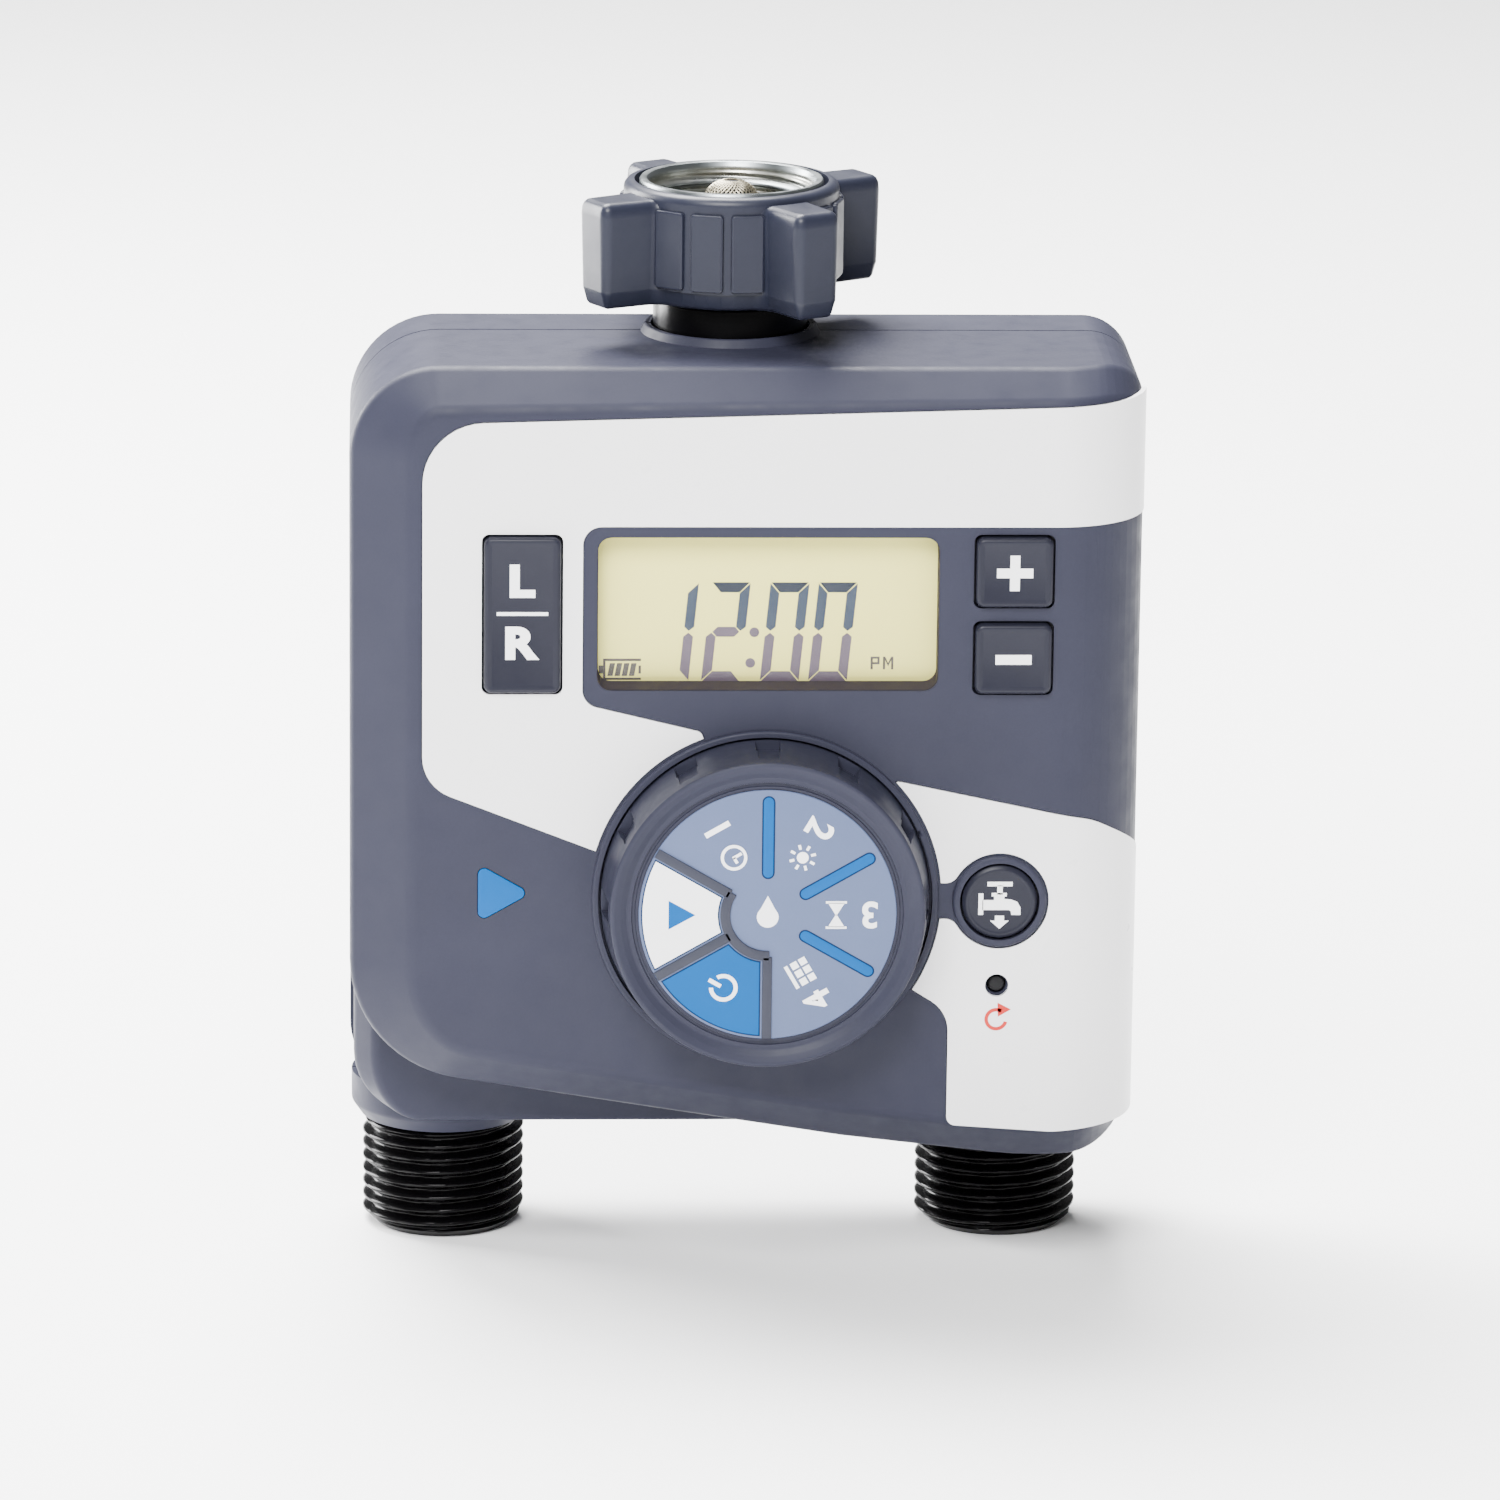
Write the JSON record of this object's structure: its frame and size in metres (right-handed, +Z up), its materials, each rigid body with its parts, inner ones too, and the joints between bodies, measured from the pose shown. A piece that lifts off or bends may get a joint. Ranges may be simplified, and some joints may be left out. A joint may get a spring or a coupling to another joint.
{
  "type": "drip irrigation timer",
  "caption": "Dual-outlet electronic garden watering timer: swivel tap inlet on top, dial, display and keys in front, threaded hose outlets below.",
  "frame": {"origin": "on the floor, under the middle of the bounding box; the timer stands on its two outlets", "axes": "+Z up towards the tap inlet, -Y towards a person who reads the display, +X to that person's right"},
  "size_m": [0.1281, 0.072, 0.1763],
  "materials": {
    "housing_plastic": "fine moulded grain, blue-grey",
    "white_panel": "smooth, slightly glossy",
    "blue_mark": "smooth",
    "key_plastic": "satin, dark grey",
    "dial_print": "printed film in six sectors",
    "black_plastic": "semi-gloss black",
    "rubber": "soft matt",
    "zinc": "bright zinc plating",
    "steel": "plain steel and wire mesh",
    "copper_wire": "enamelled winding",
    "lens": "clear, polished",
    "lcd": "pale yellow-green display",
    "board": "green solder resist",
    "natural_plastic": "uncoloured nylon",
    "cell_jacket": "plain shrink sleeve",
    "lead_blue": "wire insulation",
    "lead_red": "wire insulation",
    "lead_black": "wire insulation"
  },
  "bodies": {
    "housing": {"front_housing": "housing_plastic", "rear_housing": "housing_plastic", "upper_panel": "white_panel", "lower_panel": "white_panel", "pointer_mark": "blue_mark", "screw_upper_left": "steel", "screw_upper_right": "steel", "screw_lower_left": "steel", "screw_lower_right": "steel", "valve_manifold": "black_plastic", "nut_retaining_ring": "steel", "inlet_washer": "rubber", "filter_screen": "steel", "left_diaphragm": "rubber", "left_valve_bonnet": "black_plastic", "left_solenoid_coil": "copper_wire", "left_solenoid_frame": "steel", "left_plunger_spring": "steel", "right_diaphragm": "rubber", "right_valve_bonnet": "black_plastic", "right_solenoid_coil": "copper_wire", "right_solenoid_frame": "steel", "right_plunger_spring": "steel", "left_coil_lead": "lead_blue", "right_coil_lead": "lead_blue", "lcd_window": "lens", "lcd_panel": "lcd", "lcd_connector": "rubber", "circuit_board": "board", "controller_chip": "black_plastic", "keypad_left": "rubber", "keypad_right": "rubber", "switch_base": "black_plastic", "battery_upper": "cell_jacket", "battery_lower": "cell_jacket", "contact_spring_upper": "steel", "contact_spring_lower": "steel", "contact_link": "steel", "contact_positive": "steel", "contact_negative": "steel", "battery_lead_positive": "lead_red", "battery_lead_negative": "lead_black"},
    "nut": {"swivel_nut": "housing_plastic", "nut_insert": "zinc"},
    "dial": {"dial_knob": "housing_plastic", "dial_label": "dial_print", "switch_rotor": "natural_plastic"},
    "left_right_key": {"button_left_right": "key_plastic"},
    "plus_key": {"button_plus": "key_plastic"},
    "minus_key": {"button_minus": "key_plastic"},
    "manual_key": {"button_manual": "key_plastic"},
    "reset_key": {"button_reset": "key_plastic"},
    "door": {"battery_door": "housing_plastic"},
    "left_valve_plunger": {"left_plunger": "steel"},
    "right_valve_plunger": {"right_plunger": "steel"}
  },
  "joints": [
    {"name": "nut_spin", "type": "hinge", "parent": "housing", "child": "nut", "pos_m": [-0.0022, 0.009, 0.1665], "axis": [0, 0, 1], "continuous": true},
    {"name": "dial_turn", "type": "hinge", "parent": "housing", "child": "dial", "pos_m": [0.003, -0.03, 0.0647], "axis": [0, -1, 0], "continuous": true},
    {"name": "left_right_press", "type": "slide", "parent": "housing", "child": "left_right_key", "axis": [0, 1, 0], "range_m": [0, 0.0008], "stiffness_N_per_m": 400, "springref_m": -0.001},
    {"name": "plus_press", "type": "slide", "parent": "housing", "child": "plus_key", "axis": [0, 1, 0], "range_m": [0, 0.0008], "stiffness_N_per_m": 400, "springref_m": -0.001},
    {"name": "minus_press", "type": "slide", "parent": "housing", "child": "minus_key", "axis": [0, 1, 0], "range_m": [0, 0.0008], "stiffness_N_per_m": 400, "springref_m": -0.001},
    {"name": "manual_press", "type": "slide", "parent": "housing", "child": "manual_key", "axis": [0, 1, 0], "range_m": [0, 0.0008], "stiffness_N_per_m": 400, "springref_m": -0.001},
    {"name": "reset_press", "type": "slide", "parent": "housing", "child": "reset_key", "axis": [0, 1, 0], "range_m": [0, 0.0008], "stiffness_N_per_m": 400, "springref_m": -0.001},
    {"name": "door_slide", "type": "slide", "parent": "housing", "child": "door", "axis": [0, 0, -1], "range_m": [0, 0.012]},
    {"name": "left_valve_open", "type": "slide", "parent": "housing", "child": "left_valve_plunger", "axis": [0, 0, 1], "range_m": [0, 0.0015], "stiffness_N_per_m": 120, "springref_m": -0.004, "deforming": ["left_plunger_spring"]},
    {"name": "right_valve_open", "type": "slide", "parent": "housing", "child": "right_valve_plunger", "axis": [0, 0, 1], "range_m": [0, 0.0015], "stiffness_N_per_m": 120, "springref_m": -0.004, "deforming": ["right_plunger_spring"]}
  ]
}
